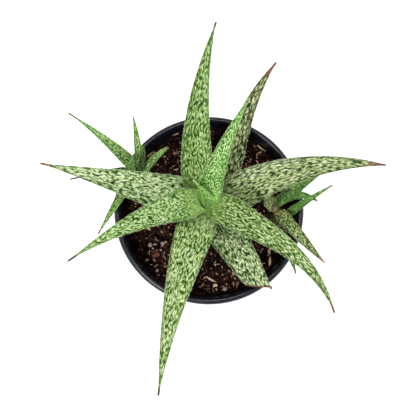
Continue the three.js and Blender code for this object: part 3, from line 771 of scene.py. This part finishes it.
# %% Peat material
peat, peat_tree, peat_shader = new_material("damp_peat_mix")
where = node(peat_tree, "ShaderNodeTexCoord").outputs["Object"]
crumb = node(peat_tree, "ShaderNodeTexNoise", {"Vector": where, "Scale": 1 / (1.6 * MM), "Detail": 6,
                                               "Roughness": 0.7})
patch = node(peat_tree, "ShaderNodeTexNoise", {"Vector": where, "Scale": 1 / (14 * MM), "Detail": 2})
dryness = node(peat_tree, "ShaderNodeMath", {0: patch, 1: 0.45, 2: crumb}, operation="MULTIPLY_ADD")
earth = node(peat_tree, "ShaderNodeValToRGB", {"Fac": dryness},
             stops=[(0.55, "#020101"), (0.7, "#0B0605"), (0.82, "#38221B"), (0.96, "#6A483A")])
peat_tree.links.new(earth.outputs[0], peat_shader.inputs["Base Color"])
peat_shader.inputs["Roughness"].default_value = 0.95
peat_shader.inputs["Specular IOR Level"].default_value = 0.05
relief = node(peat_tree, "ShaderNodeBump", {"Height": crumb, "Strength": 0.8, "Distance": 0.6 * MM})
peat_tree.links.new(relief.outputs[0], peat_shader.inputs["Normal"])
finish_piece(soil, peat, "soil_mix", "soil")

# %% Bark shreds
# across and along the soil in millimetres, length, width, heading in degrees, and shade from dark to pale
PLACED_SHREDS = [
    (34.5, -22.6, 4.2, 1.9, 80, 0.8), (34.8, -28.6, 5.2, 1.7, 86, 0.86), (1.6, -39.1, 7.6, 1.0, -27, 0.9),
    (3.6, -42.2, 2.6, 2.0, 15, 1.0), (16.4, -41.8, 4.4, 1.0, 70, 0.6), (-30.1, -25, 4.5, 3.0, 20, 0.4),
    (-19.6, 45.4, 6.0, 2.6, 20, 0.8), (-33.3, 33.0, 5.4, 2.2, 35, 0.55), (30.1, 36.4, 6.2, 1.5, -40, 0.72),
    (26.7, 1.1, 2.4, 1.6, -10, 0.7), (14.2, -36.1, 2.6, 1.1, -50, 0.8), (46.6, -3.6, 4.2, 1.6, -62, 0.62),
    (44.6, -9.6, 3.6, 1.4, -70, 0.55), (28.0, 33.0, 3.2, 1.1, 60, 0.66),
]
SHREDS = 950
luck = random.Random(41)
SHRED_PROFILE = [(-0.5, 0), (-0.46, 0.6), (-0.2, 0.95), (0.05, 1), (0.25, 0.85), (0.47, 0.5), (0.5, 0)]
SHRED_SIDES = 6


def shred(bm, shade_layer, place, long, wide, spin, shade):
    """A flat splinter: a grid whose short direction is wrapped round it."""
    thick = min(0.45, 0.3 * wide)
    curl = luck.uniform(-0.2, 0.3)
    bow = luck.uniform(-0.3, 0.3)
    jag = [luck.uniform(0.75, 1.15) for _ in SHRED_PROFILE]
    turn = Matrix.Rotation(math.radians(spin), 3, "Z") @ Matrix.Rotation(luck.uniform(-0.2, 0.2), 3, "Y")
    turn = turn @ Matrix.Rotation(luck.uniform(-0.5, 0.5), 3, "X")
    for vert in bmesh.ops.create_grid(bm, x_segments=len(SHRED_PROFILE) - 1, y_segments=SHRED_SIDES,
                                      size=0.5)["verts"]:
        step = round((vert.co.x + 0.5) * (len(SHRED_PROFILE) - 1))
        along, share = SHRED_PROFILE[step]
        around = 2 * math.pi * (vert.co.y + 0.5)
        across = 0.5 * wide * share * jag[step] * math.cos(around)
        height = thick * share * math.sin(around)
        arch = along * along * long
        shaped = Vector((along * long, across + bow * arch, height + curl * arch))
        vert.co = place + turn @ shaped
        vert[shade_layer] = shade


bm = bmesh.new()
shade_layer = bm.verts.layers.float.new("shade")
for x, y, long, wide, spin, shade in PLACED_SHREDS:
    shred(bm, shade_layer, Vector((x, y, soil_height(x, y) + 0.7)), long, wide, spin, shade)
for i in range(SHREDS):
    radius = mix(6, soil_reach - 2.5, math.sqrt(luck.random()))
    angle = luck.uniform(0, 2 * math.pi)
    x, y = radius * math.cos(angle), radius * math.sin(angle)
    fine = luck.random() < 0.85
    long = luck.uniform(1.2, 3.6) if fine else luck.uniform(2.0, 4.5)
    wide = luck.uniform(0.3, 0.6) if fine else luck.uniform(0.7, 1.5)
    lift = crumbs(x, y) * 0.6 + 0.2
    shred(bm, shade_layer, Vector((x, y, soil_height(x, y) + lift)), long, wide, luck.uniform(0, 360),
          luck.random() ** 1.7)
bmesh.ops.remove_doubles(bm, verts=bm.verts, dist=0.001)
bmesh.ops.recalc_face_normals(bm, faces=bm.faces)
shreds = as_object("bark_shreds", bm)
to_metres(shreds, 35)
print("shreds faces", len(shreds.data.polygons))

# %% Bark material
bark, bark_tree, bark_shader = new_material("shredded_pine_bark")
shade = node(bark_tree, "ShaderNodeAttribute", attribute_name="shade")
where = node(bark_tree, "ShaderNodeTexCoord").outputs["Object"]
fibre = node(bark_tree, "ShaderNodeTexNoise", {"Vector": where, "Scale": 1 / (0.9 * MM), "Detail": 3})
mixed = node(bark_tree, "ShaderNodeMath", {0: fibre, 1: 0.3, 2: shade.outputs["Fac"]},
             operation="MULTIPLY_ADD")
tan = node(bark_tree, "ShaderNodeValToRGB", {"Fac": mixed},
           stops=[(0.12, "#040202"), (0.36, "#341E18"), (0.62, "#704838"), (0.84, "#B48A70"),
                  (1.0, "#DCBC9E")])
bark_tree.links.new(tan.outputs[0], bark_shader.inputs["Base Color"])
bark_shader.inputs["Roughness"].default_value = 0.85
bark_shader.inputs["Specular IOR Level"].default_value = 0.2
finish_piece(shreds, bark, "soil_mix")

# %% [markdown]
# ### Peat clods
# Small lumps of peat lie loose among the shreds. They are rough little balls, and share the bark's material:
# its shade runs from almost black to pale, and most clods are at the dark end.

# %% Peat clods
CLODS = 1700
bm = bmesh.new()
shade_layer = bm.verts.layers.float.new("shade")
for i in range(CLODS):
    radius = mix(4, soil_reach - 1.5, math.sqrt(luck.random()))
    angle = luck.uniform(0, 2 * math.pi)
    x, y = radius * math.cos(angle), radius * math.sin(angle)
    size = luck.uniform(0.25, 0.8)
    made = bmesh.ops.create_icosphere(bm, subdivisions=1, radius=size)["verts"]
    turn = Matrix.Rotation(luck.uniform(0, 6), 3, "X") @ Matrix.Rotation(luck.uniform(0, 6), 3, "Z")
    place = Vector((x, y, soil_height(x, y) + crumbs(x, y) * 0.8 + 0.3))
    shade = luck.random() ** 2 - 0.08
    for vert in made:
        vert.co = place + turn @ (vert.co * luck.uniform(0.5, 1.35))
        vert[shade_layer] = shade
clods = as_object("peat_clods", bm)
to_metres(clods, 35)
finish_piece(clods, bark, "soil_mix")
print("clods", CLODS)

# %% [markdown]
# ### Perlite
# Perlite is volcanic glass that is popped like corn: white, light and dusty. Only a few grains show.

# %% Perlite grains
PLACED_GRAINS = [(-26.3, -18.2, 1.0), (-27.5, -22.1, 0.6), (-33.5, -19.1, 1.3), (-29.4, -33.7, 0.8),
                 (9.1, -44.3, 1.3), (12, -30, 0.5), (-22, -30, 0.5), (24, 30, 0.5), (-14, 33, 0.5),
                 (36, 18, 0.5)]
bm = bmesh.new()
for x, y, size in PLACED_GRAINS:
    made = bmesh.ops.create_icosphere(bm, subdivisions=2, radius=size)["verts"]
    place = Vector((x, y, soil_height(x, y) + 0.9))
    for vert in made:
        lump = 1 + 0.3 * noise.noise(vert.co * 1.7 + place)
        vert.co = place + Vector((vert.co.x, vert.co.y, vert.co.z * 0.8)) * lump
grains = as_object("perlite_grains", bm)
to_metres(grains, 35)
perlite, perlite_tree, perlite_shader = new_material("expanded_perlite")
where = node(perlite_tree, "ShaderNodeTexCoord").outputs["Object"]
pores = node(perlite_tree, "ShaderNodeTexNoise", {"Vector": where, "Scale": 1 / (0.7 * MM), "Detail": 3})
chalk = node(perlite_tree, "ShaderNodeValToRGB", {"Fac": pores}, stops=[(0.35, "#6A5A50"), (0.6, "#C8BEB4")])
perlite_tree.links.new(chalk.outputs[0], perlite_shader.inputs["Base Color"])
perlite_shader.inputs["Roughness"].default_value = 0.95
finish_piece(grains, perlite, "soil_mix")
print("grains", len(PLACED_GRAINS))

# %% [markdown]
# ## Stems
# The stems are short and almost hidden. Their solids keep their shape and get a skin with faint blotches, for
# the scars that old leaves left. The main one is still green between its leaves, the small ones are duller.

# %% Stem skins
STEM_TONES = {
    "stem": ("#4E7A30", "#6C9C48", "#86B060"),
    "left_pup_stem": ("#24280F", "#34421E", "#3C5C26"),
    "right_pup_stem": ("#4A3C2A", "#6C6446", "#7E8656"),
}
for name, tones in STEM_TONES.items():
    skin, skin_tree, skin_shader = new_material(name + "_scarred_skin")
    where = node(skin_tree, "ShaderNodeTexCoord").outputs["Object"]
    scars = node(skin_tree, "ShaderNodeTexNoise", {"Vector": where, "Scale": 1 / (1.8 * MM), "Detail": 3})
    scar = node(skin_tree, "ShaderNodeValToRGB", {"Fac": scars}, stops=list(zip((0.35, 0.5, 0.65), tones)))
    skin_tree.links.new(scar.outputs[0], skin_shader.inputs["Base Color"])
    skin_shader.inputs["Roughness"].default_value = 0.7
    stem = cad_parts[name]
    stem.data.materials.clear()
    stem.data.materials.append(skin)
